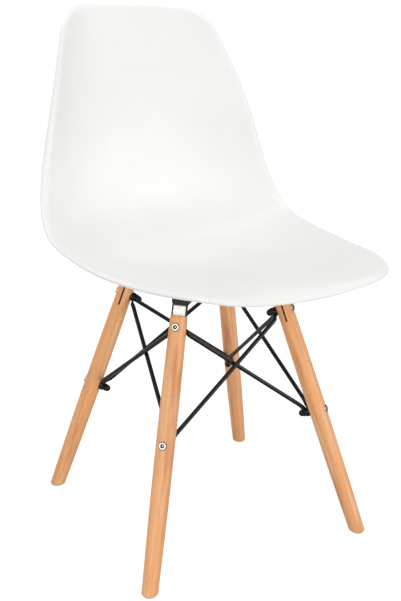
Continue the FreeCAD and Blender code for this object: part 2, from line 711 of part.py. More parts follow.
class ShellForm:
    """The shell's upper surface as a function of the place across it and along its centre line.

    The centre line and the rim line are cubic curves in the side view. A point between them moves
    from the one to the other as a power of its share of the half width. Near the outline, whose
    corners are round, the surface rolls back by a square law.
    """

    STEPS = 400

    def __init__(self):
        self.centre = station_curve("centre_along", "centre_rise")
        self.rim = station_curve("rim_along", "rim_rise")
        self.section = station_curve("half_width", "sharpness")
        self.lengths = [0.0]
        for step in range(self.STEPS):
            ends = [self.centre.value((step + more) / self.STEPS) for more in (0, 1)]
            self.lengths.append(self.lengths[-1] + (ends[1] - ends[0]).Length)
        self.length = self.lengths[-1]

    def parameter(self, along):
        """The curves' parameter at a length along the centre line."""
        along = min(max(along, 0.0), self.length)
        step = min(bisect.bisect_right(self.lengths, along) - 1, self.STEPS - 1)
        low, high = self.lengths[step], self.lengths[step + 1]
        return (step + (along - low) / (high - low)) / self.STEPS

    def corners(self, along):
        """Each pair of round corners: its radius and the distance from its end of the shell."""
        return ((size("front_corner_radius"), along),
                (size("top_corner_radius"), self.length - along))

    def half_width(self, along):
        """Half width of the outline, drawn in by the quarter circles at its corners."""
        width = self.section.value(self.parameter(along)).x
        for radius, distance in self.corners(along):
            rest = min(max(1 - distance / radius, 0.0), 1.0)
            width -= radius * (1 - math.sqrt(1 - rest * rest))
        return width

    def edge_distance(self, across, along, width):
        """Distance from the outline, round its corners."""
        side = width - abs(across)
        distance = min(side, along, self.length - along)
        for radius, end in self.corners(along):
            if side < radius and end < radius:
                distance = radius - math.hypot(radius - side, radius - end)
        return distance

    def point(self, across, along):
        parameter = self.parameter(along)
        centre, rim = self.centre.value(parameter), self.rim.value(parameter)
        section, slope = self.section.value(parameter), self.centre.tangent(parameter)[0]
        share = (abs(across) / section.x) ** section.y
        edge = self.edge_distance(across, along, section.x)
        roll = size("rim_roll_drop") * max(0.0, min(1 - edge / size("rim_roll_width"), 1.2)) ** 2
        return Vector(
            across,
            size("shell_shift") + centre.x + (rim.x - centre.x) * share + roll * slope.y,
            MOUNT_HEIGHT + centre.y + (rim.y - centre.y) * share - roll * slope.x)

    def normal(self, across, along):
        """Unit normal on the sitter's side, from neighbouring points."""
        step = 0.5
        ahead, behind = min(along + step, self.length), max(along - step, 0.0)
        sideways = self.point(across + step, along) - self.point(across - step, along)
        return sideways.cross(self.point(across, ahead) - self.point(across, behind)).normalize()

    def surfaces(self, rows=27, columns=21):
        """Upper and lower surface, closer points near the edges."""
        upper, lower = [], []
        for row in range(rows):
            along = self.length * (0.5 - 0.5 * math.cos(math.pi * row / (rows - 1)))
            width = self.half_width(along)
            turns = [math.pi / 2 * (2 * column / (columns - 1) - 1) for column in range(columns)]
            places = [width * math.sin(turn) for turn in turns]
            upper.append([self.point(across, along) for across in places])
            lower.append([self.point(across, along)
                          - self.normal(across, along) * size("shell_thickness")
                          for across in places])
        made = []
        for grid in (upper, lower):
            surface = Part.BSplineSurface()
            surface.interpolate(grid)
            made.append(surface)
        return made


def edge_curves(surface):
    """The four edges of a surface patch, in a fixed order."""
    low_u, high_u, low_v, high_v = surface.bounds()
    return [surface.uIso(low_u).toShape(), surface.uIso(high_u).toShape(),
            surface.vIso(low_v).toShape(), surface.vIso(high_v).toShape()]


def make_seat_shell():
    """Moulded shell: two surfaces a wall apart, closed round the rim, with four bosses below."""
    upper, lower = ShellForm().surfaces()
    rim = [Part.makeRuledSurface(one, other)
           for one, other in zip(edge_curves(upper), edge_curves(lower))]
    skin = Part.makeShell([upper.toShape(), lower.toShape()] + rim)
    skin.sewShape()
    shape = Part.makeSolid(skin)
    if shape.Volume < 0:
        shape.reverse()
    for corner in CORNERS:
        frame = corner_frame(corner, BOLT_HEIGHT)
        foot = frame.multVec(Vector(SCREW_ALONG, 0, PAD_TOP))
        pillar = Part.makeCylinder(size("boss_radius"), 2 * size("thigh_rim_rise"), foot)
        boss = min(pillar.cut(shape).Solids, key=lambda solid: solid.CenterOfMass.z)
        shape = shape.fuse(boss)
        hole = Part.makeCylinder(size("insert_radius") + size("insert_clearance"),
                                 size("insert_length") + size("insert_clearance"), foot)
        shape = shape.cut(hole)
    shell = doc.addObject("Part::Feature", "seat_shell")
    shell.Label = "seat_shell"
    shell.Shape = shape.Solids[0] if len(shape.Solids) == 1 else shape
    return shell


def make_chair():
    """Every sub-part of the chair, in the order it would be put together."""
    parts = [make_seat_shell(), make_inserts(), make_leg_washers(), make_seat_washers(),
             make_glide_nails()]
    for index, corner in enumerate(CORNERS):
        after = CORNERS[(index + 1) % len(CORNERS)]
        parts += [make_leg(corner), make_bracket(corner), make_pad(corner),
                  make_seat_screw(corner), make_glide(corner)]
        for which in DROPS:
            parts += [make_bolt(corner, which), make_cap_nut(corner, which)]
        parts += [make_rod(corner, after, 1), make_rod(after, corner, 0)]
    return parts


def check(parts):
    """Stop where an object failed or a sub-part has no sound shape."""
    for item in doc.Objects:
        if "Invalid" in item.State or "Error" in item.State:
            raise RuntimeError(f"{item.Name} failed: {item.State}")
    for part in parts:
        if part.Shape.isNull() or not part.Shape.isValid() or not part.Shape.Solids:
            raise RuntimeError(f"{part.Label} has no sound shape")


chair = make_chair()
doc.recompute()
check(chair)
os.makedirs("parts", exist_ok=True)
for part in chair:
    part.Shape.exportStep(f"parts/{part.Label}.step")
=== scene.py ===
import math

import bmesh
import bpy
import numpy as np
from mathutils import Matrix


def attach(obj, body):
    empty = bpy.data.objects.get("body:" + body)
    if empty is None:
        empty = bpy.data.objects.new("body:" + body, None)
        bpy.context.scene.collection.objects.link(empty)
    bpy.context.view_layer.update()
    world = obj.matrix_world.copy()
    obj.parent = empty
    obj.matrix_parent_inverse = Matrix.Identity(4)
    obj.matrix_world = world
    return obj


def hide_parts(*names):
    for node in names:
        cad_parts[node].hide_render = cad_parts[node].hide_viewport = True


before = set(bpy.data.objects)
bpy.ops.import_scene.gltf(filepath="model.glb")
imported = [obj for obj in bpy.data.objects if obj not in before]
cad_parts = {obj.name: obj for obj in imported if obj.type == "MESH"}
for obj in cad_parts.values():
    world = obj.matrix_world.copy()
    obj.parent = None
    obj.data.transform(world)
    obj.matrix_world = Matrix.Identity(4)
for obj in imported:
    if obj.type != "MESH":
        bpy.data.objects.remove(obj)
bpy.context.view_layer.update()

# A dining chair: a white moulded shell on four splayed beech legs that crossed black rods brace.
# The floor is z = 0, the sitter faces -Y and the sitter's right hand is towards -X. Metres.

MM = 0.001
MERGE_DISTANCE = 1e-6

# Sizes of the fixed frame, in millimetres as in the part's own table.
BOLT_OFFSET = 94.7
LEG_BELOW = 396.0
LEG_ABOVE = 17.0
SPLAY = math.radians(19.9)
BOLT_SPACING = 175.0
LEG_TOP_RADIUS = 12.9
LEG_FOOT_RADIUS = 12.4
LEG_BOW = 1.65
SLOT_WIDTH = 3.0
SLOT_CLEARANCE = 2.0
LEG_EDGE = 1.5
FOOT_EDGE = 1.0
SPOTFACE_DEPTH = 1.6
SPOTFACE_RADIUS = 6.6
BOLT_RADIUS = 3.0
BOLT_CLEARANCE = 0.3
HEAD_RADIUS = 6.0
HEAD_HEIGHT = 2.8
SOCKET_RADIUS = 2.8
SOCKET_DEPTH = 1.8
WASHER_THICKNESS = 1.8
NUT_RADIUS = 6.9
NUT_HEIGHT = 12.5
NUT_HEXAGON_HEIGHT = 5.5
NUT_DOME_RADIUS = 5.6
THREAD_ENGAGEMENT = 7.0
ROD_RADIUS = 3.4
ROD_GAP = 0.5
EYE_RADIUS = 7.4
EYE_THICKNESS = 2.6
EYE_HOLE_RADIUS = 3.3
NECK_CLEARANCE = 0.3
BEND_REACH = 18.0
PLATE_THICKNESS = 2.5
PLATE_WIDTH = 24.0
PLATE_BELOW = 16.0
BEND_RISE = 34.0
BEND_RADIUS = 3.0
TAB_LENGTH = 38.0
TAB_CORNER = 5.0
SCREW_REACH = 22.0
PAD_THICKNESS = 8.0
PAD_WIDTH = 27.0
PAD_OVERHANG = 1.5
PAD_BROW = 4.0
PAD_CORNER = 6.0
SCREW_HEAD_RADIUS = 5.5
SCREW_HEAD_HEIGHT = 3.5
SCREW_ENGAGEMENT = 6.5
GLIDE_INSET = 2.2
GLIDE_THICKNESS = 3.0
NAIL_CLEARANCE = 0.3
NAIL_HEAD_RADIUS = 3.2
NAIL_HEAD_HEIGHT = 1.2
SHELL_THICKNESS = 5.0
SHELL_SHIFT = -2.0
FRONT_CORNER_RADIUS = 92.0
TOP_CORNER_RADIUS = 35.0
RIM_ROLL_WIDTH = 16.0
RIM_ROLL_DROP = 7.0
RIM_CLEARANCE = 0.3
BOSS_RADIUS = 13.0
BOSS_FLARE = 5.0
INSERT_BORE = 4.5
INSERT_LENGTH = 7.5
CUTTER_REACH = 40.0
# Width of the painted shade along a bracket's edges, standing for dark reflections there.
PAINTED_SHADE_MARGIN = 2.6
# Along a rod from an eye's middle: its poles in the eye's plane and past the neck, and where its
# section ends being flat and begins to be round.
EYE_POLES = (3.8, 7.0)
NECK_POLES = (9.6, 12.5)
FLAT_END = 7.2
ROUND_START = 17.5

SPLAY_SIN, SPLAY_COS = math.sin(SPLAY), math.cos(SPLAY)
BOLT_HEIGHT = LEG_BELOW * SPLAY_COS
TAB_TOP = BEND_RISE * SPLAY_COS + PLATE_THICKNESS / 2
TAB_UNDERSIDE = TAB_TOP - PLATE_THICKNESS
BEND_ALONG = -BEND_RISE * SPLAY_SIN
SCREW_ALONG = BEND_ALONG - SCREW_REACH
PAD_TOP = TAB_TOP + PAD_THICKNESS
MOUNT_HEIGHT = BOLT_HEIGHT + PAD_TOP
DROPS = {"upper": 0.0, "lower": BOLT_SPACING}

# The shell's stations from the front edge to the top of the back: centre line (along, rise), rim
# line (along, rise), half width, and how sharply the section turns up towards the rim.
STATIONS = np.array([
    (-283, 43.3, -297, 87, 197, 2.1),
    (-263, 58.6, -247, 66, 190, 2.4),
    (-208, 53.6, -154, 62, 205, 2.8),
    (-80, 32, -67, 58, 221, 3.0),
    (60, 10, 55, 65, 225, 3.0),
    (165, 13, 119, 79, 225, 2.8),
    (196, 157, 164, 166, 206, 2.5),
    (231, 308, 167, 287, 173, 2.5),
    (278, 416.4, 236, 404.4, 130, 3.0)], float)

# Corners in order round the chair, with their signs along X and Y.
CORNERS = (("front_right", -1, -1), ("front_left", 1, -1),
           ("rear_left", 1, 1), ("rear_right", -1, 1))


# ---- Mesh making

def unit(vectors):
    return vectors / np.linalg.norm(vectors, axis=-1, keepdims=True)


def smoothstep(low, high, values):
    share = np.clip((values - low) / (high - low), 0, 1)
    return share * share * (3 - 2 * share)


def packed(*values):
    """Values side by side along a last axis, with single numbers repeated to fit."""
    return np.stack(np.broadcast_arrays(*values), axis=-1)


def capped(rows):
    """A grid of rows whose ends are closed to the middle of the first and the last row."""
    first, last = (np.repeat(rows[k].mean(0)[None], len(rows[k]), axis=0) for k in (0, -1))
    return np.stack([first, *rows, last])


def grid_quads(rows, columns):
    """Quads of a grid of points, row by row, with the last column joined to the first."""
    index = np.arange(rows * columns).reshape(rows, columns)
    ahead = np.roll(index, -1, axis=1)
    corners = (index[:-1], ahead[:-1], ahead[1:], index[1:])
    return np.stack(corners, axis=-1).reshape(-1, 4)


def as_mesh(name, grids):
    """One mesh of several closed-in grids of points in millimetres, doubles merged."""
    points, quads, offset = [], [], 0
    for grid in grids:
        points.append(grid.reshape(-1, 3))
        quads.append(grid_quads(*grid.shape[:2]) + offset)
        offset += grid.shape[0] * grid.shape[1]
    mesh = bpy.data.meshes.new(name)
    mesh.from_pydata((np.concatenate(points) * MM).tolist(), [], np.concatenate(quads).tolist())
    clean(mesh)
    return mesh


def clean(mesh):
    """Merge doubles, drop faces without area, and turn the faces outwards."""
    made = bmesh.new()
    made.from_mesh(mesh)
    bmesh.ops.remove_doubles(made, verts=made.verts, dist=MERGE_DISTANCE)
    bmesh.ops.dissolve_degenerate(made, dist=MERGE_DISTANCE, edges=made.edges)
    bmesh.ops.recalc_face_normals(made, faces=made.faces)
    made.to_mesh(mesh)
    made.free()


def put_in(name, data):
    """A new object in the scene."""
    made = bpy.data.objects.new(name, data)
    bpy.context.scene.collection.objects.link(made)
    return made


def piece(name, mesh, material, nodes, sharp_degrees):
    """A finished piece that rides on the chair's one body and stands for its CAD nodes.

    Its faces are smooth, and the edges that turn by more than an angle stay sharp.
    """
    mesh.shade_smooth()
    mesh.set_sharp_from_angle(angle=math.radians(sharp_degrees))
    made = put_in(name, mesh)
    mesh.materials.append(material)
    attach(made, "root")
    if nodes:
        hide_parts(*nodes)


def placed(grid, frame_4x4):
    """Points carried by a frame."""
    return grid @ frame_4x4[:3, :3].T + frame_4x4[:3, 3]


def shift(x, y, z):
    made = np.eye(4)
    made[:3, 3] = (x, y, z)
    return made


def turn(axes):
    """A frame whose columns are three axes."""
    made = np.eye(4)
    made[:3, :3] = np.array(axes, float).T
    return made


def corner_frame(corner, height):
    """Level frame over or under a leg's upper bolt, with X pointing away from the middle."""
    _, sign_x, sign_y = corner
    half = math.sqrt(0.5)
    axes = ((sign_x * half, sign_y * half, 0), (-sign_y * half, sign_x * half, 0), (0, 0, 1))
    return shift(sign_x * BOLT_OFFSET, sign_y * BOLT_OFFSET, height) @ turn(axes)


def leg_frame(corner, drop=0.0):
    """Frame on the leg's axis, drop below the upper bolt, with Z up the leg and X outwards."""
    tilt = turn(((SPLAY_COS, 0, SPLAY_SIN), (0, 1, 0), (-SPLAY_SIN, 0, SPLAY_COS)))
    return corner_frame(corner, BOLT_HEIGHT) @ tilt @ shift(0, 0, -drop)


def facing_out(way):
    """Frame whose Z is the leg frame's X, outwards for way 1 and inwards for way -1."""
    return turn(((0, way, 0), (0, 0, 1), (way, 0, 0)))


def round_corners(profile, radii, steps=6):
    """A profile of straight runs whose corners become arcs.

    Each corner is replaced by points of a quadratic curve between the two places that lie its
    radius away along both runs, which is close to an arc.
    """
    made = [profile[:1]]
    for before, corner, after, radius in zip(profile, profile[1:], profile[2:], radii):
        back, ahead = before - corner, after - corner
        lengths = np.linalg.norm(back), np.linalg.norm(ahead)
        reach = min(radius, 0.49 * lengths[0], 0.49 * lengths[1])
        start, stop = corner + back / lengths[0] * reach, corner + ahead / lengths[1] * reach
        share = np.linspace(0, 1, steps)[:, None]
        made.append((1 - share) ** 2 * start + 2 * share * (1 - share) * corner + share ** 2 * stop)
    made.append(profile[-1:])
    return np.concatenate(made)


def hexagon(angles):
    """Radius of a hexagon whose corners lie at 1: its apothem over the cosine to the flat."""
    beside = (angles + math.pi / 6) % (math.pi / 3) - math.pi / 6
    return math.cos(math.pi / 6) / np.cos(beside)


def turned(profile, sides=48, hexagonal=None):
    """Surface of revolution: each profile point (radius, height) is carried round Z.

    Where a hexagonal share is given for each point, its radius is drawn from the circle's towards
    that of the hexagon with the same corners.
    """
    angles = 2 * math.pi * np.arange(sides) / sides
    radius = profile[:, :1]
    if hexagonal is not None:
        share = np.asarray(hexagonal, float)[:, None]
        radius = radius * (1 - share) + hexagon(angles) * radius * share
    return packed(radius * np.cos(angles), radius * np.sin(angles), profile[:, 1:2])


# ---- Materials

class Paint:
    """Short hand for a material's node tree, read from top to bottom."""

    def __init__(self, name):
        self.material = bpy.data.materials.new(name)
        self.material.use_nodes = True
        self.tree = self.material.node_tree
        self.shader = self.tree.nodes["Principled BSDF"]

    def node(self, kind, inputs=None, **settings):
        made = self.tree.nodes.new("ShaderNode" + kind)
        for key, value in settings.items():
            setattr(made, key, value)
        for key, value in (inputs or {}).items():
            self.feed(made, key, value)
        return made

    def feed(self, node, key, value):
        if isinstance(value, bpy.types.NodeSocket):
            self.tree.links.new(value, node.inputs[key])
        else:
            node.inputs[key].default_value = value

    def surface(self, **inputs):
        for key, value in inputs.items():
            self.feed(self.shader, key.replace("_", " "), value)

    def place(self, scale=(1, 1, 1), attribute=None, turned_by=(0, 0, 0), moved=(0, 0, 0)):
        """Where a pattern is read: object coordinates or the piece's own attribute, scaled."""
        if attribute:
            source = self.node("Attribute", attribute_name=attribute).outputs["Vector"]
        else:
            source = self.node("TexCoord").outputs["Object"]
        mapping = self.node("Mapping", {"Vector": source, "Scale": scale, "Rotation": turned_by,
                                        "Location": moved})
        return mapping.outputs["Vector"]

    def noise(self, vector, scale, detail=3.0, roughness=0.5):
        return self.node("TexNoise", {
            "Vector": vector, "Scale": scale, "Detail": detail,
            "Roughness": roughness}).outputs["Fac"]

    def between(self, value, low, high, out_low=0.0, out_high=1.0):
        return self.node("MapRange", {
            "Value": value, "From Min": low, "From Max": high, "To Min": out_low,
            "To Max": out_high}, interpolation_type="SMOOTHSTEP").outputs["Result"]

    def math(self, operation, first, second):
        return self.node("Math", {0: first, 1: second}, operation=operation).outputs[0]

    def mix(self, share, first, second):
        return self.node("Mix", {0: share, 6: first, 7: second}, data_type="RGBA").outputs[2]

    def bump(self, height, distance, strength=1.0, normal=None):
        inputs = {"Height": height, "Distance": distance, "Strength": strength}
        if normal is not None:
            inputs["Normal"] = normal
        return self.node("Bump", inputs).outputs["Normal"]


def shell_plastic():
    """White polypropylene: a fine moulded grain, faint flow mottling and a satin sheen."""
    paint = Paint("white_moulded_plastic")
    place = paint.place()
    mottle = paint.noise(place, 9.0, 3.0, 0.55)
    grain = paint.noise(place, 1500.0, 2.0, 0.6)
    colour = paint.mix(paint.between(mottle, 0.3, 0.7), (0.862, 0.856, 0.838, 1),
                       (0.885, 0.880, 0.866, 1))
    paint.surface(Base_Color=colour, IOR=1.49)
    rough = paint.between(paint.noise(place, 40.0, 3.0), 0.3, 0.7, 0.36, 0.46)
    paint.surface(Roughness=rough)
    wave = paint.bump(paint.noise(place, 14.0, 1.0), 0.0004, 0.35)
    paint.surface(Normal=paint.bump(grain, 0.00012, 0.35, wave))
    return paint.material


def beech():
    """Lacquered beech: growth rings cut lengthways, fine fibres, flecks, pale and dark streaks."""
    paint = Paint("lacquered_beech")

    def drawn_out(share, moved=(0, 0, 0)):
        return paint.place((1, 1, share), "leg_place", moved=moved)

    bent = paint.node("VectorMath", operation="ADD")
    raw = drawn_out(1)
    sway = paint.node("TexNoise", {
        "Vector": drawn_out(0.12), "Scale": 22.0, "Detail": 2.0}).outputs["Color"]
    swayed = paint.node("VectorMath", {0: sway, 1: (0.5, 0.5, 0.5)}, operation="SUBTRACT")
    scaled = paint.node("VectorMath", {0: swayed.outputs[0], "Scale": 0.006}, operation="SCALE")
    paint.feed(bent, 0, raw)
    paint.feed(bent, 1, scaled.outputs[0])
    rings = paint.node("TexWave", {
        "Vector": bent.outputs[0], "Scale": 62.0, "Distortion": 1.6, "Detail": 2.0,
        "Detail Scale": 0.8, "Detail Roughness": 0.6},
        wave_type="RINGS", rings_direction="Z", wave_profile="SAW").outputs["Fac"]
    fibre = paint.noise(drawn_out(0.022), 900.0, 4.0, 0.65)
    band = paint.noise(drawn_out(0.10), 60.0, 3.0, 0.6)
    fleck = paint.node("TexVoronoi", {
        "Vector": drawn_out(0.16), "Scale": 620.0, "Randomness": 1.0},
        feature="F1").outputs["Distance"]
    streak = paint.noise(drawn_out(0.045), 150.0, 2.0, 0.5)
    mineral = paint.noise(drawn_out(0.5, (0.3, 0.1, 0.7)), 14.0, 2.0)
    light, middle = (0.950, 0.480, 0.215, 1), (0.890, 0.390, 0.148, 1)
    dark, red = (0.500, 0.185, 0.065, 1), (0.640, 0.225, 0.100, 1)
    colour = paint.mix(paint.between(rings, 0.1, 1.0, 0.05, 0.70), light, middle)
    colour = paint.mix(paint.between(band, 0.50, 0.70, 0.0, 0.72), colour, red)
    pale = paint.noise(drawn_out(0.07, (0.7, 0.2, 0.1)), 95.0, 2.0, 0.5)
    colour = paint.mix(paint.between(pale, 0.52, 0.68, 0.0, 0.75), colour, (0.960, 0.610, 0.340, 1))
    colour = paint.mix(paint.between(fibre, 0.50, 0.75, 0.0, 0.28), colour, dark)
    colour = paint.mix(paint.between(fleck, 0.10, 0.24, 0.50, 0.0), colour, dark)
    rare = paint.math("MULTIPLY", paint.between(streak, 0.62, 0.70),
                      paint.between(mineral, 0.50, 0.62))
    colour = paint.mix(paint.math("MULTIPLY", rare, 0.75), colour, (0.16, 0.055, 0.025, 1))
    paint.surface(Base_Color=colour, IOR=1.5)
    paint.surface(Roughness=paint.between(fibre, 0.3, 0.7, 0.38, 0.52))
    low = paint.bump(fibre, 0.00010, 0.45)
    paint.surface(Normal=paint.bump(rings, 0.00012, 0.20, low))
    return paint.material


def powder_coat():
    """Semi-gloss black powder coat, fine orange peel, grey specks of wear and painted glint."""
    paint = Paint("black_powder_coat")
    place = paint.place()
    peel = paint.noise(place, 1300.0, 2.0, 0.55)
    wear_and_glint = paint.noise(place, 180.0, 4.0, 0.7)
    # Grey specks: partly wear, partly painted highlight standing for glints on the black coat.
    colour = paint.mix(paint.between(wear_and_glint, 0.58, 0.78), (0.0045, 0.0052, 0.0052, 1),
                       (0.016, 0.017, 0.016, 1))
    paint.surface(Base_Color=colour, Roughness=paint.between(wear_and_glint, 0.3, 0.75, 0.20, 0.34), IOR=1.36)
    paint.surface(Normal=paint.bump(peel, 0.00012, 0.55))
    return paint.material


def plated_steel():
    """Bright zinc plate with fine drawing lines, cloudy patches and painted shade on its edges.

    The piece's own attribute says where shade is painted: 1 on edges, standing for the dark
    reflections their rounding would catch, and in sockets, standing for the shade inside them.
    """
    paint = Paint("bright_zinc_plate")
    cloud = paint.noise(paint.place(), 160.0, 4.0, 0.6)
    lines = paint.noise(paint.place((1, 1, 0.06), turned_by=(0.5, 0.4, 0)), 2600.0, 2.0, 0.6)
    colour = paint.mix(cloud, (0.47, 0.47, 0.45, 1), (0.60, 0.59, 0.56, 1))
    # Painted shade: where the attribute is 1 the plate turns near black and a little less metallic.
    edge = paint.node("Attribute", attribute_name="painted_edge_shade").outputs["Fac"]
    painted_shade_colour = paint.mix(cloud, (0.012, 0.012, 0.010, 1), (0.040, 0.038, 0.030, 1))
    colour = paint.mix(edge, colour, painted_shade_colour)
    paint.surface(Base_Color=colour, Metallic=paint.between(edge, 0.0, 1.0, 1.0, 0.85))
    paint.surface(Roughness=paint.between(cloud, 0.3, 0.7, 0.34, 0.46))
    paint.surface(Normal=paint.bump(lines, 0.00005, 0.5))
    return paint.material


def rubber():
    """Matt black rubber with a dusty bloom."""
    paint = Paint("black_rubber")
    place = paint.place()
    bloom = paint.noise(place, 120.0, 4.0, 0.65)
    colour = paint.mix(paint.between(bloom, 0.4, 0.75), (0.010, 0.010, 0.011, 1),
                       (0.028, 0.027, 0.026, 1))
    paint.surface(Base_Color=colour, Roughness=paint.between(bloom, 0.3, 0.7, 0.62, 0.78))
    paint.surface(Normal=paint.bump(paint.noise(place, 1800.0, 2.0), 0.0001, 0.5))
    return paint.material


def brass():
    """Turned brass with rings from the tool."""
    paint = Paint("turned_brass")
    lines = paint.noise(paint.place((0.05, 0.05, 1)), 3000.0, 2.0)
    stain = paint.noise(paint.place(), 200.0, 3.0)
    colour = paint.mix(stain, (0.60, 0.40, 0.14, 1), (0.72, 0.52, 0.22, 1))
    paint.surface(Base_Color=colour, Metallic=1.0)
    paint.surface(Roughness=paint.between(stain, 0.3, 0.7, 0.25, 0.4))
    paint.surface(Normal=paint.bump(lines, 0.00005, 0.5))
    return paint.material


def nylon():
    """Pale translucent nylon, lightly scuffed."""
    paint = Paint("pale_nylon")
    place = paint.place()
    scuff = paint.noise(place, 260.0, 5.0, 0.7)
    colour = paint.mix(paint.between(scuff, 0.35, 0.75), (0.74, 0.73, 0.69, 1),
                       (0.62, 0.60, 0.56, 1))
    paint.surface(Base_Color=colour, Roughness=paint.between(scuff, 0.3, 0.7, 0.35, 0.6), IOR=1.53)
    paint.surface(Normal=paint.bump(scuff, 0.0001, 0.4))
    return paint.material


PLASTIC, WOOD, COAT = shell_plastic(), beech(), powder_coat()
STEEL, RUBBER, BRASS, NYLON = plated_steel(), rubber(), brass(), nylon()


# ---- Shell

def spline(poles, parameter):
    """Clamped cubic curve: poles weighted by the cubic basis, built up degree by degree."""
    spans = len(poles) - 3
    knots = np.concatenate((np.zeros(3), np.linspace(0, 1, spans + 1), np.ones(3)))
    parameter = np.clip(parameter, 0, 1 - 1e-12)[..., None]
    basis = ((parameter >= knots[:-1]) & (parameter < knots[1:])).astype(float)
    for degree in (1, 2, 3):
        low, high = knots[:-degree - 1], knots[degree:-1]
        rise = np.where(high > low, (parameter - low) / np.where(high > low, high - low, 1), 0)
        low, high = knots[1:-degree], knots[degree + 1:]
        fall = np.where(high > low, (high - parameter) / np.where(high > low, high - low, 1), 0)
        basis = rise * basis[..., :-1] + fall * basis[..., 1:]
    return basis @ poles


class ShellForm:
    """The shell's upper surface over (across, along), with along measured on its centre line.

    Centre line and rim line are cubic curves in the side view. A point between them moves from the
    one to the other as a power of its share of the half width. Near the outline, whose corners are
    round, the surface rolls back by a square law.
    """

    def __init__(self):
        self.table = np.linspace(0, 1, 401)
        line = spline(STATIONS[:, :2], self.table)
        steps = np.linalg.norm(np.diff(line, axis=0), axis=1)
        self.lengths = np.concatenate(([0.0], np.cumsum(steps)))
        self.length = self.lengths[-1]

    def values(self, along):
        parameter = np.interp(along, self.lengths, self.table)
        step = 1e-4
        ahead, behind = (spline(STATIONS[:, :2], np.clip(parameter + way, 0, 1))
                         for way in (step, -step))
        return spline(STATIONS, parameter), unit(ahead - behind)

    def point(self, across, along):
        station, slope = self.values(along)
        centre, rim, width = station[..., :2], station[..., 2:4], station[..., 4]
        share = ((np.abs(across) / width) ** station[..., 5])[..., None]
        side, end = width - np.abs(across), self.length - along
        edge = np.minimum(side, np.minimum(along, end))
        for radius, distance in ((FRONT_CORNER_RADIUS, along), (TOP_CORNER_RADIUS, end)):
            round_edge = radius - np.hypot(radius - side, radius - distance)
            edge = np.where((side < radius) & (distance < radius), round_edge, edge)
        roll = RIM_ROLL_DROP * np.clip(1 - edge / RIM_ROLL_WIDTH, 0, 1.2) ** 2
        place = centre + (rim - centre) * share
        return packed(across, SHELL_SHIFT + place[..., 0] + roll * slope[..., 1],
                      MOUNT_HEIGHT + place[..., 1] - roll * slope[..., 0])

    def normal(self, across, along, step=0.5):
        """Unit normal on the sitter's side, from neighbouring points."""
        ahead, behind = np.minimum(along + step, self.length), np.maximum(along - step, 0)
        sideways = self.point(across + step, along) - self.point(across - step, along)
        return unit(np.cross(sideways, self.point(across, ahead) - self.point(across, behind)))

    def half_width(self, along):
        return self.values(along)[0][:, 4]

    def outline(self, count):
        """Half of the outline, evenly spaced: (across, along) and its outward direction there."""
        angle = np.linspace(0, math.pi / 2, 60)
        total = self.length
        first_width, last_width = self.half_width(np.array([0.0, total]))
        runs = [packed(np.linspace(0, first_width - FRONT_CORNER_RADIUS, 40), 0, 0, -1)]
        for radius, ordered, way in ((FRONT_CORNER_RADIUS, angle, -1),
                                     (TOP_CORNER_RADIUS, angle[::-1], 1)):
            back = radius * (1 - np.cos(ordered))
            along = back if way == -1 else total - back
            width = self.half_width(along) - radius * (1 - np.sin(ordered))
            runs.append(packed(width, along, np.sin(ordered), way * np.cos(ordered)))
        along = np.linspace(FRONT_CORNER_RADIUS, total - TOP_CORNER_RADIUS, 400)
        runs.insert(2, packed(self.half_width(along), along, 1, 0)[1:-1])
        runs.append(packed(np.linspace(last_width - TOP_CORNER_RADIUS, 0, 40), total, 0, 1))
        line = np.concatenate(runs)
        steps = np.linalg.norm(np.diff(self.point(line[:, 0], line[:, 1]), axis=0), axis=1)
        measured = np.concatenate(([0.0], np.cumsum(steps)))
        wanted = np.linspace(0, measured[-1], count)
        return packed(*(np.interp(wanted, measured, values) for values in line.T))


SHELL = ShellForm()


def make_shell(spokes=241, band=14, inner=26, nose=9):
    """The shell as rings round a spine, with a rounded rim.

    A ring point lies on a spoke from the outline, straight in across a band where the rim rolls,
    then on to a point of the spine whose place is a straight function of the spoke's own. Upper
    rings lie on the form, lower rings a wall below it along the normal, and between the outermost
    two a half circle of the wall's thickness closes the rim.
    """
    half = SHELL.outline(spokes)
    other = half[-2:0:-1] * np.array([-1, 1, -1, 1])
    loop = np.concatenate((half, other))
    edge, out = loop[:, :2], unit(loop[:, 2:])
    step = 0.5
    inset = edge - out * step
    stretch = np.linalg.norm(SHELL.point(*edge.T) - SHELL.point(*inset.T), axis=1) / step
    first = ((SHELL_THICKNESS / 2 + RIM_CLEARANCE) / stretch)[:, None]
    band_width = RIM_ROLL_WIDTH + 8
    spine_along = np.interp(edge[:, 1], (0, SHELL.length), (130, SHELL.length - 110))
    spine = np.stack((0 * spine_along, spine_along), axis=-1)
    shares = np.linspace(0, 1, band)[:, None, None]
    rings = edge - out * (first + (band_width - first) * shares)
    inmost = rings[-1]
    shares = np.linspace(0, 1, inner)[1:, None, None]
    rings = np.concatenate((rings, inmost + (spine - inmost) * shares))
    upper = SHELL.point(rings[..., 0], rings[..., 1])
    normal = SHELL.normal(rings[..., 0], rings[..., 1])
    lower = upper - normal * SHELL_THICKNESS
    along = unit(np.roll(upper[0], -1, axis=0) - np.roll(upper[0], 1, axis=0))
    outward = unit(np.cross(along, normal[0]))
    angles = np.linspace(0, math.pi, nose + 2)[1:-1, None, None]
    middle = upper[0] - normal[0] * SHELL_THICKNESS / 2
    rim = middle + (normal[0] * np.cos(angles) + outward * np.sin(angles)) * SHELL_THICKNESS / 2
    grid = np.concatenate((upper[::-1], rim, lower))
    piece("moulded_shell", as_mesh("moulded_shell", [grid]), PLASTIC,
          ["seat_shell"], 60)


def underside(across, place):
    """Height of the shell's lower surface over level places, by stepping towards them.

    The first guess runs evenly from the front edge to the station where the seat ends.
    """
    x, along = across.copy(), np.interp(place, STATIONS[[0, 5], 0], (0.0, 460.0))
    for _ in range(25):
        here = SHELL.point(x, along) - SHELL.normal(x, along) * SHELL_THICKNESS
        x += across - here[..., 0]
        along += 0.8 * (place - here[..., 1])
    return here[..., 2]


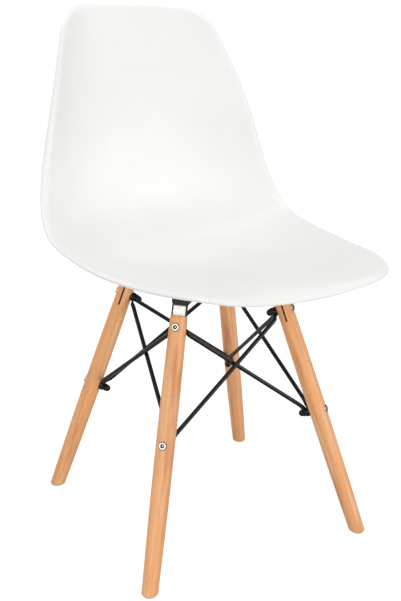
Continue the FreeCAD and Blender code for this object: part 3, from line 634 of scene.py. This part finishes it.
def make_bosses():
    """Mounting bosses: a round pillar whose root flares into the shell along its lower surface."""
    angles = 2 * math.pi * np.arange(64) / 64
    pillar = ((0, INSERT_LENGTH), (INSERT_BORE, INSERT_LENGTH), (INSERT_BORE, 0.4),
              (INSERT_BORE + 0.4, 0.0), (BOSS_RADIUS - 1.0, 0.0), (BOSS_RADIUS - 0.3, 0.3),
              (BOSS_RADIUS, 1.0))
    grids = []
    for corner in CORNERS:
        centre = placed(np.array([SCREW_ALONG, 0.0, PAD_TOP]), corner_frame(corner, BOLT_HEIGHT))
        rows = [packed(centre[0] + radius * np.cos(angles), centre[1] + radius * np.sin(angles),
                       centre[2] + rise) for radius, rise in pillar]
        for share in np.linspace(0, 1, 9):
            radius = BOSS_RADIUS + BOSS_FLARE * (1 - math.cos(share * math.pi / 2))
            x, y = centre[0] + radius * np.cos(angles), centre[1] + radius * np.sin(angles)
            drop = BOSS_FLARE * (1 - math.sin(share * math.pi / 2)) - 0.25
            rows.append(packed(x, y, underside(x, y) - drop))
        inside = rows[-1] + np.array([0, 0, 2.0])
        top = packed(0 * angles + centre[0], centre[1], inside[:, 2].mean())
        grids.append(np.stack(rows + [inside, top]))
    piece("shell_bosses", as_mesh("shell_bosses", grids), PLASTIC, [], 50)


# ---- Legs

def leg_radius(drop):
    """The leg's radius at a drop below the upper bolt: a bowed arc, then straight at the foot."""
    straight = LEG_BELOW - LEG_FOOT_RADIUS
    chord = np.array([LEG_TOP_RADIUS - LEG_FOOT_RADIUS, LEG_ABOVE + straight])
    length = np.linalg.norm(chord)
    radius = (length ** 2 / 4 + LEG_BOW ** 2) / (2 * LEG_BOW)
    inward = np.array([-chord[1], chord[0]]) / length
    centre = np.array([LEG_TOP_RADIUS + LEG_FOOT_RADIUS, LEG_ABOVE - straight]) / 2
    centre = centre + inward * (radius - LEG_BOW)
    level = -np.minimum(drop, straight)
    return centre[0] + np.sqrt(radius ** 2 - (level - centre[1]) ** 2)


def flat(drop):
    """Distance from the leg's axis to the spot-faced flats round a bolt."""
    return float(leg_radius(drop)) - SPOTFACE_DEPTH


def stack_end(drop):
    """Distance from the leg's axis to the cap nut."""
    return flat(drop) + WASHER_THICKNESS + 2 * EYE_THICKNESS


def leg_blank(sides=96, rows=90):
    """A turned leg with rounded top edge, its foot cut level with the floor.

    Round the axis and down the leg, the radius is that of the bowed arc. Each line down the leg
    ends where the tilted circle meets the glide's upper face, and the last rows draw in by a
    quarter circle.
    """
    angles = 2 * math.pi * np.arange(sides) / sides
    end = -(LEG_BELOW - GLIDE_THICKNESS / SPLAY_COS)
    foot = end - LEG_FOOT_RADIUS * np.cos(angles) * SPLAY_SIN / SPLAY_COS
    quarter = np.linspace(0, math.pi / 2, 6)
    grid = []
    for turned_in in quarter[::-1]:
        radius = leg_radius(-LEG_ABOVE + LEG_EDGE) - LEG_EDGE * (1 - math.cos(turned_in))
        height = LEG_ABOVE - LEG_EDGE * (1 - math.sin(turned_in))
        grid.append((radius, height))
    for share in np.linspace(0, 1, rows)[1:]:
        height = (LEG_ABOVE - LEG_EDGE) * (1 - share) + (foot + FOOT_EDGE) * share
        grid.append((leg_radius(-height), height))
    for turned_in in quarter[1:]:
        height = foot + FOOT_EDGE * (1 - math.sin(turned_in))
        radius = leg_radius(-height) - FOOT_EDGE * (1 - math.cos(turned_in))
        slope = -(LEG_FOOT_RADIUS - radius) * np.cos(angles) * SPLAY_SIN / SPLAY_COS
        grid.append((radius, height - slope * math.sin(turned_in)))
    return np.stack([packed(radius * np.cos(angles), radius * np.sin(angles), height)
                     for radius, height in [(0, LEG_ABOVE), *grid, (0, end)]])


def drum(radius, start, stop):
    """A closed cylinder along X, the shape of a drill or counterbore."""
    profile = np.array([(0, start), (radius, start), (radius, stop), (0, stop)], float)
    return placed(turned(profile), facing_out(1))


def slab(low, high):
    """A closed box between two corners, as rings of four corners."""
    x, y = np.array([low[0], high[0], high[0], low[0]]), np.repeat((low[1], high[1]), 2)
    return capped([packed(x, y, height) for height in (low[2], high[2])])


def cut(mesh, cutters, name):
    """The mesh less each cutter, as a new mesh."""
    blank = put_in(name, mesh)
    tools = []
    for index, grid in enumerate(cutters):
        tool = put_in(f"{name}_tool_{index}", as_mesh(f"{name}_tool_{index}", [grid]))
        modifier = blank.modifiers.new(tool.name, "BOOLEAN")
        modifier.operation, modifier.solver, modifier.object = "DIFFERENCE", "EXACT", tool
        tools.append(tool)
    bpy.context.view_layer.update()
    graph = bpy.context.evaluated_depsgraph_get()
    made = bpy.data.meshes.new_from_object(blank.evaluated_get(graph))
    for used in tools + [blank]:
        bpy.data.objects.remove(used)
    return made


def make_legs():
    """Four legs from one cut blank, each carried to its corner with its own piece of grain."""
    reach = CUTTER_REACH
    cutters = [slab((-SLOT_WIDTH / 2, -reach, -PLATE_BELOW - SLOT_CLEARANCE),
                    (SLOT_WIDTH / 2, reach, reach))]
    for drop in DROPS.values():
        drills = [drum(SPOTFACE_RADIUS, way * flat(drop), way * reach) for way in (1, -1)]
        drills.append(drum(BOLT_RADIUS + BOLT_CLEARANCE, -reach, reach))
        cutters += [drill - np.array([0, 0, drop]) for drill in drills]
    leg = cut(as_mesh("leg_blank", [leg_blank()]), cutters, "leg_blank")
    clean(leg)
    local = np.empty(len(leg.vertices) * 3)
    leg.vertices.foreach_get("co", local)
    local = local.reshape(-1, 3)
    # Where each leg was sawn from its plank: how far from the tree's middle, the turn of its
    # grain, and its place along the plank.
    planks = {"front_right": (0.055, 0.4, 0.0), "front_left": (0.048, 2.3, 1.3),
              "rear_left": (0.062, 4.0, 2.9), "rear_right": (0.050, 5.2, 4.1)}
    for corner in CORNERS:
        name = f"{corner[0]}_leg"
        mesh = leg.copy()
        mesh.name = name
        world = placed(local / MM, leg_frame(corner)) * MM
        mesh.vertices.foreach_set("co", world.ravel())
        off, grain_turn, start = planks[corner[0]]
        cosine, sine = math.cos(grain_turn), math.sin(grain_turn)
        plank = packed(local[:, 0] * cosine - local[:, 1] * sine + off,
                       local[:, 0] * sine + local[:, 1] * cosine + off / 3, local[:, 2] + start)
        attribute = mesh.attributes.new("leg_place", "FLOAT_VECTOR", "POINT")
        attribute.data.foreach_set("vector", plank.ravel())
        mesh.update()
        piece(f"{corner[0]}_turned_leg", mesh, WOOD, [name], 30)


# ---- Fasteners

def face_centres(mesh, place):
    """The middles of a piece's faces in a frame, in millimetres."""
    centres = np.empty(len(mesh.polygons) * 3)
    mesh.polygons.foreach_get("center", centres)
    return placed(centres.reshape(-1, 3) / MM, np.linalg.inv(place))


def store_painted_shade(mesh, dark):
    """Store painted shade on the faces of a piece: 1 where the plate is painted dark."""
    attribute = mesh.attributes.new("painted_edge_shade", "FLOAT", "FACE")
    attribute.data.foreach_set("value", dark.astype(np.float32))


def socket_screw(name, node, place, seat, sign, head_radius, head_height, shank_end):
    """A screw with a round head and a hexagon socket, in plated steel.

    Heights run along its axis: the head rises from its seat by its height towards sign, and the
    shank runs the other way to its end. Painted shade darkens the head's rounded edge, standing
    for a dark reflection, and the socket but for the middle of its floor, standing for its shade.
    """
    top = seat + sign * head_height
    floor = top - sign * SOCKET_DEPTH
    head_edge, floor_middle = 1.1, 1.2
    outer = np.array([
        (0, shank_end), (BOLT_RADIUS - 0.5, shank_end), (BOLT_RADIUS, shank_end + sign * 0.5),
        (BOLT_RADIUS, seat), (head_radius, seat), (head_radius, top), (SOCKET_RADIUS + 0.5, top)],
        float)
    outer = round_corners(outer, (0.2, 0.2, 0.2, 0.3, head_edge, 0.0))
    inner = np.array([(SOCKET_RADIUS + 0.15, top - sign * 0.05), (SOCKET_RADIUS, top - sign * 0.3),
                      (SOCKET_RADIUS, floor), (floor_middle, floor - sign * 0.35),
                      (0, floor - sign * 0.6)], float)
    shares = np.concatenate((np.zeros(len(outer)), (1, 1, 1, 0, 0)))
    grid = turned(np.concatenate((outer, inner)), 48, shares)
    mesh = as_mesh(node, [placed(grid, place)])
    here = face_centres(mesh, place)
    off_axis = np.hypot(here[:, 0], here[:, 1])
    # Painted shade: the head's rounded rim and the socket walls are painted dark.
    edge = (off_axis > head_radius - 0.9) & (off_axis < head_radius - 0.06)
    store_painted_shade(mesh, edge | ((off_axis > floor_middle - 0.1) & (off_axis < SOCKET_RADIUS + 0.3)))
    piece(name, mesh, STEEL, [node], 40)


def make_bolts():
    for corner in CORNERS:
        for which, drop in DROPS.items():
            name = f"{corner[0]}_{which}"
            socket_screw(f"{name}_socket_bolt", f"{name}_bolt",
                         leg_frame(corner, drop) @ facing_out(1), flat(drop), 1, HEAD_RADIUS,
                         HEAD_HEIGHT, -(stack_end(drop) + THREAD_ENGAGEMENT))


def make_cap_nuts():
    """Cap nuts: a hexagon whose corners are turned down at both ends, a collar and a dome."""
    dome_base = NUT_HEIGHT - NUT_DOME_RADIUS
    apothem = NUT_RADIUS * math.cos(math.pi / 6)
    turned_down = 0.55
    arc = np.linspace(0, math.pi / 2, 12)
    rows = [(0, 0, 0), (3.2, 0, 0), (apothem, 0, 0), (NUT_RADIUS, turned_down, 1),
            (NUT_RADIUS, NUT_HEXAGON_HEIGHT - turned_down, 1), (apothem, NUT_HEXAGON_HEIGHT, 0),
            (NUT_DOME_RADIUS + 0.25, NUT_HEXAGON_HEIGHT, 0),
            (NUT_DOME_RADIUS, NUT_HEXAGON_HEIGHT + 0.3, 0)]
    rows += [(NUT_DOME_RADIUS * math.cos(a), dome_base + NUT_DOME_RADIUS * math.sin(a), 0)
             for a in arc]
    rows = np.array(rows)
    for corner in CORNERS:
        for which, drop in DROPS.items():
            name = f"{corner[0]}_{which}_cap_nut"
            grid = turned(rows[:, :2], 48, rows[:, 2]) + np.array([0, 0, stack_end(drop)])
            grid = placed(grid, leg_frame(corner, drop) @ facing_out(-1))
            piece(f"{corner[0]}_{which}_domed_nut", as_mesh(name, [grid]), COAT,
                  [name], 32)


def make_seat_screws():
    seat = TAB_UNDERSIDE - WASHER_THICKNESS
    end = seat + WASHER_THICKNESS + PLATE_THICKNESS + PAD_THICKNESS + SCREW_ENGAGEMENT
    for corner in CORNERS:
        socket_screw(f"{corner[0]}_socket_screw", f"{corner[0]}_seat_screw",
                     corner_frame(corner, BOLT_HEIGHT) @ shift(SCREW_ALONG, 0, 0), seat, -1,
                     SCREW_HEAD_RADIUS, SCREW_HEAD_HEIGHT, end)


# ---- Rods

def tube(path, side, half_width, half_thickness, power, sides=24):
    """A section carried along a path.

    The section is a power curve: one half axis lies along the side vector, the other across it,
    and the power makes it round at 2 and flat-sided above. Both ends are closed to a point.
    """
    along = unit(np.gradient(path, axis=0))
    side = unit(side - along * np.sum(side * along, axis=1, keepdims=True))
    thick = np.cross(along, side)
    angles = 2 * math.pi * np.arange(sides) / sides
    cosine, sine = np.cos(angles)[None, :], np.sin(angles)[None, :]
    bulge = (2 / power)[:, None]
    wide = half_width[:, None] * np.sign(cosine) * np.abs(cosine) ** bulge
    deep = half_thickness[:, None] * np.sign(sine) * np.abs(sine) ** bulge
    grid = path[:, None] + wide[..., None] * side[:, None] + deep[..., None] * thick[:, None]
    ends = [np.repeat(path[k][None, None], sides, axis=1) for k in (0, -1)]
    return np.concatenate((ends[0], grid, ends[1]))


def eye_ring(centre, normal):
    """A flattened eye: a flat ring whose edges are rounded."""
    half = EYE_THICKNESS / 2
    profile = np.array([
        (EYE_HOLE_RADIUS, 0), (EYE_HOLE_RADIUS, half), (EYE_RADIUS, half), (EYE_RADIUS, -half),
        (EYE_HOLE_RADIUS, -half), (EYE_HOLE_RADIUS, 0)], float)
    profile = round_corners(profile, (0.35, 0.8, 0.8, 0.35))
    across = unit(np.cross(normal, (0.0, 0.0, 1.0)))
    axes = turn((across, np.cross(normal, across), normal))
    return placed(turned(profile, 48), shift(*centre) @ axes)


def make_rods():
    """Brace rods: round wire hammered flat into an eye at each end.

    The wire's path is a clamped cubic curve through the eyes' planes, the bends and the straight
    run. Its section goes from flat at the eyes to round past the necks.
    """
    for index, corner in enumerate(CORNERS):
        after = CORNERS[(index + 1) % 4]
        for high, low, layer in ((corner, after, 1), (after, corner, 0)):
            ends = []
            for end, which in ((high, "upper"), (low, "lower")):
                reach = flat(DROPS[which]) + WASHER_THICKNESS + (layer + 0.5) * EYE_THICKNESS
                here = leg_frame(end, DROPS[which])
                ends.append((placed(np.array([-reach, 0.0, 0.0]), here), here[:3, 0]))
            uppers = [leg_frame(end)[:3, 3] for end in (high, low)]
            outward = unit(np.cross(uppers[1] - uppers[0],
                                    leg_frame(high, BOLT_SPACING)[:3, 3] - uppers[0]))
            middle = (uppers[0] + uppers[1]) / 2
            outward = outward * np.sign(outward[:2] @ middle[:2])
            apart = EYE_THICKNESS * abs(ends[0][1] @ outward)
            bend = (2 * ROD_RADIUS + ROD_GAP - apart) * layer
            inward = ROD_RADIUS - EYE_THICKNESS / 2 + NECK_CLEARANCE
            halves, sides, grids = [], [], []
            for step, (centre, normal) in enumerate(ends):
                far = ends[1 - step][0] - centre
                towards = unit(far - normal * (far @ normal))
                bent = centre + towards * BEND_REACH - normal * inward - outward * bend
                halves.append([centre + towards * pole for pole in EYE_POLES]
                              + [centre + towards * pole - normal * inward
                                 for pole in NECK_POLES] + [bent])
                sides.append(np.cross(normal, towards))
                grids.append(eye_ring(centre, normal))
            run = halves[1][-1] - halves[0][-1]
            length = np.linalg.norm(run)
            spread = [halves[0][-1] + run * share for share in
                      (5 / length, 0.2, 0.5, 0.8, 1 - 5 / length)]
            poles = np.array(halves[0] + spread + halves[1][::-1])
            path = spline(poles, np.linspace(0, 1, 141))
            share = np.linspace(0, 1, len(path))[:, None]
            side = sides[0] * (1 - share) - sides[1] * share
            reach = np.minimum(np.linalg.norm(path - ends[0][0], axis=1),
                               np.linalg.norm(path - ends[1][0], axis=1))
            flatness = 1 - smoothstep(FLAT_END, ROUND_START, reach)
            grids.append(tube(path, side, ROD_RADIUS + 0.8 * flatness,
                              ROD_RADIUS - (ROD_RADIUS - EYE_THICKNESS / 2 * 0.97) * flatness,
                              2 + 1.6 * flatness))
            name = f"{high[0]}_to_{low[0]}"
            piece(f"{name}_wire", as_mesh(f"{name}_rod", grids), COAT,
                  [f"{name}_rod"], 50)


# ---- Brackets, pads and glides

def rounded_loop(half_x, half_y, radius, steps=6):
    """A rectangle's outline with quarter-circle corners, anticlockwise."""
    angles = np.concatenate([np.linspace(0, math.pi / 2, steps) + quarter * math.pi / 2
                             for quarter in range(4)])
    sign_x = np.repeat((1, -1, -1, 1), steps)
    sign_y = np.repeat((1, 1, -1, -1), steps)
    return packed(sign_x * (half_x - radius) + radius * np.cos(angles),
                  sign_y * (half_y - radius) + radius * np.sin(angles))


def make_brackets():
    """Bent strip: a rounded rectangle carried along a plate, a bend and a level tab.

    The path is straight up the leg's axis, turns through an arc on the strip's middle line, and
    runs level to the tip, where the half width draws in by a quarter circle. A margin along both
    edges carries painted shade, standing for the dark reflections of the rounded edges.
    """
    corner_angle = math.pi / 2 + SPLAY
    middle_radius = BEND_RADIUS + PLATE_THICKNESS / 2
    tangent = middle_radius * math.tan((math.pi - corner_angle) / 2)
    up = np.array([-SPLAY_SIN, SPLAY_COS])
    bend_at = np.array([BEND_ALONG, BEND_RISE * SPLAY_COS])
    start = -up * PLATE_BELOW
    first, last = bend_at - up * tangent, bend_at - np.array([tangent, 0])
    to_centre = np.array([-SPLAY_COS, -SPLAY_SIN])
    centre = first + to_centre * middle_radius
    angles = np.linspace(math.atan2(*(first - centre)[::-1]), math.pi / 2, 10)
    arc = centre + middle_radius * packed(np.cos(angles), np.sin(angles))
    tip = np.array([BEND_ALONG - TAB_LENGTH, bend_at[1]])
    quarter = np.linspace(0, math.pi / 2, 9)
    drawn_in = 1 - np.cos(quarter)
    rounded = tip + np.array([[TAB_CORNER, 0]]) * (1 - np.sin(quarter))[:, None]
    path = np.concatenate((
        start + (first - start) * np.linspace(0, 1, 8)[:, None], arc[1:-1],
        last + (rounded[0] - last) * np.linspace(0, 1, 8)[:-1, None], rounded))
    width = np.full(len(path), PLATE_WIDTH / 2)
    width[-len(quarter):] -= TAB_CORNER * drawn_in
    along = unit(np.gradient(path, axis=0))
    path, along = (packed(line[:, 0], 0, line[:, 1]) for line in (path, along))
    side = np.array([0.0, 1.0, 0.0])
    thick = np.cross(along, side)
    rows = []
    for row in range(len(path)):
        loop = rounded_loop(width[row], PLATE_THICKNESS / 2, 0.45)
        inside = width[row] - PAINTED_SHADE_MARGIN
        upper, lower = (np.array([[way * inside, way * PLATE_THICKNESS / 2],
                                  [-way * inside, way * PLATE_THICKNESS / 2]]) for way in (1, -1))
        loop = np.concatenate((loop[:6], upper, loop[6:18], lower, loop[18:]))
        rows.append(path[row] + loop[:, :1] * side + loop[:, 1:] * thick[row])
    grid = capped(rows)
    for corner in CORNERS:
        name = f"{corner[0]}_bracket"
        place = corner_frame(corner, BOLT_HEIGHT)
        mesh = as_mesh(name, [placed(grid, place)])
        # Painted shade: faces within the margin of either edge are painted dark.
        store_painted_shade(mesh, np.abs(face_centres(mesh, place)[:, 1]) > PLATE_WIDTH / 2 - PAINTED_SHADE_MARGIN)
        piece(f"{corner[0]}_bent_bracket", mesh, STEEL, [name], 40)


def make_pads():
    """Rubber pads: a round-cornered block whose sides bulge a little between rounded edges."""
    inner = BEND_ALONG - TAB_LENGTH - PAD_OVERHANG
    outer = BEND_ALONG + PAD_BROW
    middle = np.array([(inner + outer) / 2, 0.0])
    half_x, half_y = (outer - inner) / 2, PAD_WIDTH / 2
    edge, waist = 1.1, 0.5
    angles = np.linspace(0, math.pi / 2, 6)
    draws = [edge * (1 - math.sin(a)) for a in angles]
    rises = [edge * (1 - math.cos(a)) for a in angles]
    levels = list(zip(draws, rises))
    levels += [(waist * math.sin(math.pi * share) ** 2, edge + (PAD_THICKNESS - 2 * edge) * share)
               for share in np.linspace(0, 1, 9)[1:-1]]
    levels += [(draw, PAD_THICKNESS - rise) for draw, rise in zip(draws[::-1], rises[::-1])]
    rows = []
    for draw, rise in levels:
        loop = rounded_loop(half_x - draw, half_y - draw, PAD_CORNER - draw) + middle
        rows.append(packed(*loop.T, rise))
    grid = capped(rows)
    for corner in CORNERS:
        name = f"{corner[0]}_mount_pad"
        mesh = as_mesh(name, [placed(grid, corner_frame(corner, BOLT_HEIGHT + TAB_TOP))])
        piece(f"{corner[0]}_rubber_pad", mesh, RUBBER, [name], 40)


def make_glides():
    """Glides: a round disc with rounded edges and the counterbore of its nail."""
    wide = LEG_FOOT_RADIUS - GLIDE_INSET
    sink, step = NAIL_HEAD_RADIUS + NAIL_CLEARANCE, NAIL_HEAD_HEIGHT + NAIL_CLEARANCE
    profile = np.array([(0, step), (sink, step), (sink, 0), (wide, 0), (wide, GLIDE_THICKNESS),
                        (0, GLIDE_THICKNESS)], float)
    profile = round_corners(profile, (0.1, 0.4, 1.2, 0.5))
    for corner in CORNERS:
        name = f"{corner[0]}_glide"
        base = leg_frame(corner, LEG_BELOW)[:3, 3]
        mesh = as_mesh(name, [turned(profile, 64) + np.array([base[0], base[1], 0])])
        piece(f"{corner[0]}_nailed_glide", mesh, NYLON, [name], 40)


def dress_frame_nodes():
    """Finishes for the small CAD nodes that stay: washers, inserts and nails."""
    for node, material in (("leg_washers", COAT), ("seat_washers", STEEL),
                           ("threaded_inserts", BRASS), ("glide_nails", STEEL)):
        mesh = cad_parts[node].data
        mesh.materials.clear()
        mesh.materials.append(material)


# ---- Studio

def make_floor():
    """A pale floor that the camera sees as white, apart from the chair's shadow."""
    reach = 60.0
    mesh = bpy.data.meshes.new("floor")
    corners = [(-reach, -reach, 0), (reach, -reach, 0), (reach, reach, 0), (-reach, reach, 0)]
    mesh.from_pydata(corners, [], [(0, 1, 2, 3)])
    floor = put_in("floor", mesh)
    paint = Paint("pale_floor")
    tree = paint.tree
    tree.nodes.remove(paint.shader)
    output = tree.nodes["Material Output"]
    seen = paint.node("LightPath").outputs["Is Camera Ray"]
    matt = paint.node("BsdfDiffuse", {"Color": (0.58, 0.58, 0.58, 1)}).outputs[0]
    soft = paint.node("BsdfDiffuse", {"Color": (0.34, 0.34, 0.34, 1)}).outputs[0]
    glow = paint.node("Emission", {"Color": (1, 1, 1, 1), "Strength": 0.86}).outputs[0]
    both = paint.node("AddShader", {0: soft, 1: glow}).outputs[0]
    mixed = paint.node("MixShader", {0: seen, 1: matt, 2: both}).outputs[0]
    tree.links.new(mixed, output.inputs["Surface"])
    mesh.materials.append(paint.material)


def make_world(strength):
    """Even light from all round; the camera, gloss and glass see white."""
    world = bpy.data.worlds.new("studio")
    bpy.context.scene.world = world
    world.use_nodes = True
    nodes, links = world.node_tree.nodes, world.node_tree.links
    background = nodes["Background"]
    background.inputs["Color"].default_value = (1, 1, 1, 1)
    path = nodes.new("ShaderNodeLightPath")
    seen = path.outputs["Is Camera Ray"]
    for kind in ("Is Glossy Ray", "Is Transmission Ray"):
        either = nodes.new("ShaderNodeMath")
        either.operation = "MAXIMUM"
        links.new(seen, either.inputs[0])
        links.new(path.outputs[kind], either.inputs[1])
        seen = either.outputs[0]
    level = nodes.new("ShaderNodeMapRange")
    level.inputs["To Min"].default_value = strength
    level.inputs["To Max"].default_value = 1.0
    links.new(seen, level.inputs["Value"])
    links.new(level.outputs["Result"], background.inputs["Strength"])


def softbox(name, place, target, size, power):
    """A square area lamp that looks at a target."""
    lamp = bpy.data.lights.new(name, "AREA")
    lamp.shape, lamp.size, lamp.energy = "SQUARE", size, power
    back = unit(np.array(place, float) - np.array(target, float))
    across = unit(np.cross((0.0, 0.0, 1.0), back))
    pose = shift(*place) @ turn((across, np.cross(back, across), back))
    put_in(name, lamp).matrix_world = Matrix(pose.tolist())


def make_camera():
    """The photograph's view, worked out from the chair's feet, bolts and outline."""
    yaw, pitch, roll = 0.50352, 0.31463, 0.009611
    place = np.array([-719.87, -1298.38, 855.66]) * MM
    ahead = np.array([math.sin(yaw) * math.cos(pitch), math.cos(yaw) * math.cos(pitch),
                      -math.sin(pitch)])
    level = np.array([math.cos(yaw), -math.sin(yaw), 0.0])
    above = np.cross(level, ahead)
    right = math.cos(roll) * level + math.sin(roll) * above
    up = -math.sin(roll) * level + math.cos(roll) * above
    data = bpy.data.cameras.new("camera")
    data.sensor_width = 36.0
    focal, photo_height = 972.81, 601
    data.lens = focal / photo_height * data.sensor_width
    data.clip_end = 200.0
    camera = put_in("camera", data)
    camera.matrix_world = Matrix((shift(*place) @ turn((right, up, -ahead))).tolist())
    bpy.context.scene.camera = camera


make_shell()
make_bosses()
make_legs()
make_bolts()
make_cap_nuts()
make_seat_screws()
make_rods()
make_brackets()
make_pads()
make_glides()
dress_frame_nodes()

make_floor()
make_world(0.45)
softbox("key", (1.7, -2.8, 0.8), (0.0, 0.0, 0.3), 1.6, 35)
softbox("fill", (-2.3, -1.8, 0.8), (0.0, 0.0, 0.3), 1.6, 26)
softbox("top", (0.0, 0.2, 3.0), (0.0, 0.0, 0.4), 2.0, 29)
softbox("back", (-0.8, 3.6, 1.6), (0.0, 0.0, 0.5), 2.2, 34)
make_camera()
bpy.context.scene.view_settings.view_transform = "Standard"
